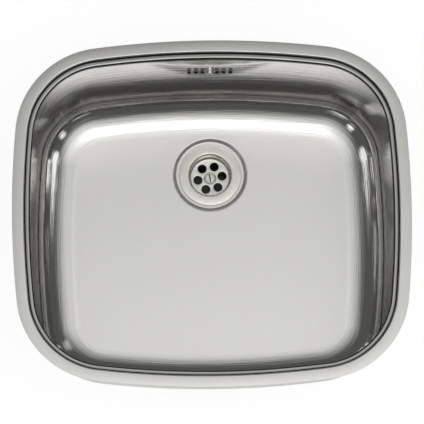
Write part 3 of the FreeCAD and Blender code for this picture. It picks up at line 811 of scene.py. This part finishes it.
def makeWasteFlange():
    # flange, cup and strainer plate of one pressing, with a dish for the screw's head
    w = wasteSizes
    middle = Vector((0, bowlSizes["wasteY"], 0))
    bm = bmesh.new()
    r = w["rimRound"]
    top = roundedPath([(w["flangeRadius"] - r, w["flangeTop"]), (w["cupRadius"], w["flangeTop"]),
                       (w["cupRadius"], w["gridTop"]), (w["cupFoot"], w["gridTop"])],
                      w["cupBends"], w["cupSteps"])
    dish = roundedPath([(w["dishRing"], w["gridTop"]), (w["dishTop"], w["gridTop"]),
                        (w["dish"], w["dishFloor"]), (w["shankHole"], w["dishFloor"])],
                       w["dishBends"], w["dishSteps"])
    unders = []
    for path in (top, dish):
        normals = [-n for n in pathNormals(path)]
        normals[0] = normals[-1] = Vector((0, 1))
        unders.append([p - n * w["sheet"] for p, n in zip(path, normals)])
    rim = []
    for k in range(w["rimSteps"] - 1, 0, -1):  # rolled outer edge, underside to top
        turn = math.pi * k / w["rimSteps"]
        rim.append(Vector((w["flangeRadius"] - r + r * math.sin(turn),
                           w["flangeTop"] - w["sheet"] / 2 * (1 - math.cos(turn)))))
    rings = turnedRings(bm, unders[0][::-1] + rim + top, w["cupColumns"], middle)
    dishRings = turnedRings(bm, dish + unders[1][::-1], w["dishColumns"], middle)
    upper, lower = [rings[-1], dishRings[0]], [rings[0], dishRings[-1]]
    (roundTop, stepsTop), (roundLow, stepsLow) = w["holeRounds"]
    wall = [(w["holeRadius"] + a, w["gridTop"] - b) for a, b in edgeRound(roundTop, stepsTop)]
    wall += [(w["holeRadius"] + a, w["gridTop"] - w["sheet"] + b)
             for a, b in reversed(edgeRound(roundLow, stepsLow))]
    holes = []
    for i in range(w["holes"]):
        turn = math.radians(w["turn"] + 360 / w["holes"] * i)
        spot = middle + Vector((math.cos(turn), math.sin(turn), 0)) * w["circle"]
        holes.append(turnedRings(bm, wall, w["holeColumns"], spot))
        upper.append(holes[-1][0])
        lower.append(holes[-1][-1])
    for made in [rings, dishRings] + holes:
        ringFaces(bm, made)
    fillBetween(bm, upper, True)
    fillBetween(bm, lower, False)
    bmesh.ops.recalc_face_normals(bm, faces=bm.faces)
    return newPiece("waste_strainer", bm, [finishes["pressedStainless"]], w["sharpAngle"])


screwSizes = {
    # head radius and height, shank radius and length, slot width and depth, slot turn in degrees
    "waste_screw": (5.0, 2.4, 3.0, 12.0, 1.3, 1.2, 97.0),
    "overflow_screw": (4.6, 2.6, 2.5, 12.0, 1.3, 1.2, 18.0),
}
screwForm = {
    "pitch": 0.8, "threadDepth": 0.35, "crest": (0.45, 0.55),  # the crest's ends, as shares of the pitch
    "point": 0.8, "neck": (0.05, 0.4), "chamfer": 0.15,        # mm; the neck's relief and length
    "rounding": 0.3,                                           # share of the head's height that is rounded
    "crown": (0.02, 0.03), "core": 0.02,                       # mm that the top rises; smallest radius
    "columns": 56, "roundSteps": 8, "slotOver": 1.0, "arris": 0.1, "arrisAngle": 50, "sharpAngle": 30,
    "lift": 0.05,                                              # mm clear of what the head sits on
}


def makeScrew(name, place):
    # cheese head with a rounded rim and a milled slot, on a shank whose thread is drawn as close rings
    f = screwForm
    head, tall, shank, length, slotWide, slotDeep, slotTurn = screwSizes[name]
    core, root = f["core"], shank - f["threadDepth"]
    start = f["point"] - length
    outline = [(core, -length), (shank - f["point"], -length)]
    turns = int((length - 2 * f["point"]) / f["pitch"])
    for k in range(turns):
        z = start + k * f["pitch"]
        outline += [(root, z)] + [(shank, z + f["pitch"] * share) for share in f["crest"]]
    relief, neck = f["neck"]
    outline += [(root, start + turns * f["pitch"]), (shank - relief, -neck), (shank - relief, 0.0),
                (head - f["chamfer"], 0.0), (head, f["chamfer"])]
    soft = tall * f["rounding"]
    outline += [(head - a, tall - b) for a, b in reversed(edgeRound(soft, f["roundSteps"]))]
    low, high = f["crown"]
    outline += [(head * 0.5, tall + low), (core, tall + high)]
    bm = bmesh.new()
    rings = turnedRings(bm, outline, f["columns"])
    ringFaces(bm, rings)
    bm.faces.new(rings[0][::-1])
    bm.faces.new(rings[-1])
    bmesh.ops.recalc_face_normals(bm, faces=bm.faces)
    screw = newPiece(name + "_turned", bm, [finishes["turnedStainless"], finishes["slotShadeSteel"]])
    over = f["slotOver"]
    slotBm = bmesh.new()
    size = (2 * head + 2 * over, slotWide, slotDeep + over)
    bmesh.ops.create_cube(slotBm, size=1.0, matrix=Matrix.Rotation(math.radians(slotTurn), 4, "Z")
                          @ Matrix.Translation((0, 0, (2 * tall - slotDeep + over) / 2 * mm))
                          @ Matrix.Diagonal((size[0] * mm, size[1] * mm, size[2] * mm, 1)))
    # the slot's cut faces take the dark steel, as painted shade
    cutter = newPiece("slot", slotBm, [finishes["slotShadeSteel"]])
    cutWith(screw, cutter)
    bevel = screw.modifiers.new("arris", "BEVEL")
    bevel.width, bevel.segments, bevel.limit_method = f["arris"] * mm, 2, "ANGLE"
    bevel.angle_limit = math.radians(f["arrisAngle"])
    applyModifiers(screw)
    bpy.data.objects.remove(cutter)
    screw.data.transform(place)
    shadeSmooth(screw, f["sharpAngle"])
    return screw


washerSizes = {
    "radius": 6.2, "bore": 2.9, "thick": 1.0, "round": 0.5, "roundSteps": 6, "columns": 64,
    "chamfer": (0.1, 0.12), "boreChamfer": 0.15,  # mm across and up, under the edge; at the bore
    "sharpAngle": 40,
}


def makeWasher():
    # turned washer with a rounded face, under the overflow screw
    w = washerSizes
    across, rise = w["chamfer"]
    outline = [(w["bore"], 0), (w["radius"] - across, 0), (w["radius"], rise)]
    outline += [(w["radius"] - a, w["thick"] - b)
                for a, b in reversed(edgeRound(w["round"], w["roundSteps"]))]
    outline += [(w["bore"] + w["boreChamfer"], w["thick"]), (w["bore"], w["thick"] - w["boreChamfer"])]
    bm = bmesh.new()
    ringFaces(bm, turnedRings(bm, outline, w["columns"]), closed=True)
    bmesh.ops.recalc_face_normals(bm, faces=bm.faces)
    washer = newPiece("overflow_washer_turned", bm, [finishes["turnedStainless"]], w["sharpAngle"])
    washer.data.transform(metres(overflowPlace() @ Matrix.Rotation(quarter, 4, "X")))
    return washer


def metres(place):
    # the same placement with its shift in metres
    out = place.copy()
    out.translation = out.translation * mm
    return out


hoseSizes = {
    "y": 183.8, "top": -77.0, "bend": 44.0, "inletZ": -204.0, "end": 115.0,
    "bore": 5.6, "cuff": 6.5, "cuffLength": 18.0, "cuffChamfer": 0.25, "boreChamfer": 0.2,
    "root": 7.0, "crest": 9.0, "ribs": 34, "step": 0.6,
    # along one rib: share of its pitch, and share of its rise
    "swell": ((0.0, 0.0), (0.1, 0.0), (0.2, 0.1), (0.3, 0.45), (0.4, 0.86), (0.5, 1.0), (0.68, 1.0),
              (0.78, 0.86), (0.88, 0.45), (0.96, 0.1)),
    "columns": 40, "boreRings": 24, "sharpAngle": 50,
}


def hosePoint(s):
    # place and direction on the hose's centre line, s mm from its upper end
    h = hoseSizes
    drop = h["top"] - h["inletZ"] - h["bend"]
    curve = h["bend"] * quarter
    if s <= drop:
        return Vector((0, h["y"], h["top"] - s)), Vector((0, 0, -1))
    if s <= drop + curve:
        turn = (s - drop) / h["bend"]
        spot = Vector((0, h["y"] - h["bend"] * (1 - math.cos(turn)),
                       h["inletZ"] + h["bend"] * (1 - math.sin(turn))))
        return spot, Vector((0, -math.sin(turn), -math.cos(turn)))
    return Vector((0, h["y"] - h["bend"] - (s - drop - curve), h["inletZ"])), Vector((0, -1, 0))


def hoseLength():
    h = hoseSizes
    return h["top"] - h["inletZ"] - h["bend"] + h["bend"] * quarter + h["y"] - h["bend"] - h["end"]


def makeHose():
    # a blown bellows with plain cuffs
    h = hoseSizes
    length = hoseLength()
    first, last = h["cuffLength"], length - h["cuffLength"]
    pitch = (last - first) / h["ribs"]
    mouth, cuff, ease = h["bore"] + h["boreChamfer"], h["cuff"], h["cuffChamfer"]
    stations = [(0.0, mouth), (0.0, cuff - ease), (ease, cuff), (first - h["step"], cuff)]
    for k in range(h["ribs"]):
        for part, rise in h["swell"]:
            stations.append((first + (k + part) * pitch, h["root"] + (h["crest"] - h["root"]) * rise))
    stations += [(last, h["root"]), (last + h["step"], cuff), (length - ease, cuff), (length, cuff - ease),
                 (length, mouth), (length, h["bore"])]
    stations += [(length * k / h["boreRings"], h["bore"]) for k in range(h["boreRings"], -1, -1)]
    bm = bmesh.new()
    across = Vector((1, 0, 0))
    rings = []
    for s, radius in stations:
        spot, along = hosePoint(min(max(s, 0), length))
        side = along.cross(across)
        turns = [2 * math.pi * k / h["columns"] for k in range(h["columns"])]
        rings.append([bm.verts.new((spot + (across * math.cos(turn) + side * math.sin(turn)) * radius) * mm)
                      for turn in turns])
    ringFaces(bm, rings, closed=True)
    bmesh.ops.recalc_face_normals(bm, faces=bm.faces)
    return newPiece("overflow_bellows", bm, [finishes["blownPolyethylene"]], h["sharpAngle"])


wasteFlange = makeWasteFlange()
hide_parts("waste_flange")
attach(wasteFlange, "basin")
print("waste strainer:", len(wasteFlange.data.polygons), "faces")

wasteScrewPlace = Matrix.Translation((0, bowlSizes["wasteY"], wasteSizes["dishFloor"] + screwForm["lift"]))
overflowScrewPlace = (overflowPlace() @ Matrix.Translation((0, -washerSizes["thick"] - screwForm["lift"], 0))
                      @ Matrix.Rotation(quarter, 4, "X"))
for name, place, body in (("waste_screw", wasteScrewPlace, "centre_screw"),
                          ("overflow_screw", overflowScrewPlace, "overflow_fixing")):
    screw = makeScrew(name, metres(place))
    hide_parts(name)
    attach(screw, body)

washer = makeWasher()
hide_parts("overflow_washer")
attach(washer, "basin")
print("screws and washer are made")

hose = makeHose()
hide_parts("overflow_hose")
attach(hose, "basin")
print(f"hose: {hoseLength():.1f} mm long")

# the pieces that show their CAD form, by the slot that the record gives them
finishOf = {
    "insert_brass": "machinedBrass", "waste_plastic": "mouldedPolypropylene", "nut_plastic": "mouldedNylon",
    "hose_plastic": "blownPolyethylene", "seal_rubber": "mouldedRubber", "bitumen_pad": "pressedBitumen",
}
slotOf = {part["node"]: part["material_slot"] for part in frame["record"]["subparts"]}
for name, node in frame["nodes"].items():
    if slotOf[name] in finishOf:
        finish = "mouldedShellPolypropylene" if name == "overflow_housing" else finishOf[slotOf[name]]
        node.data.materials.clear()
        node.data.materials.append(finishes[finish])
        shadeSmooth(node, sharpAngle=30)
print("packed pieces have their finishes")
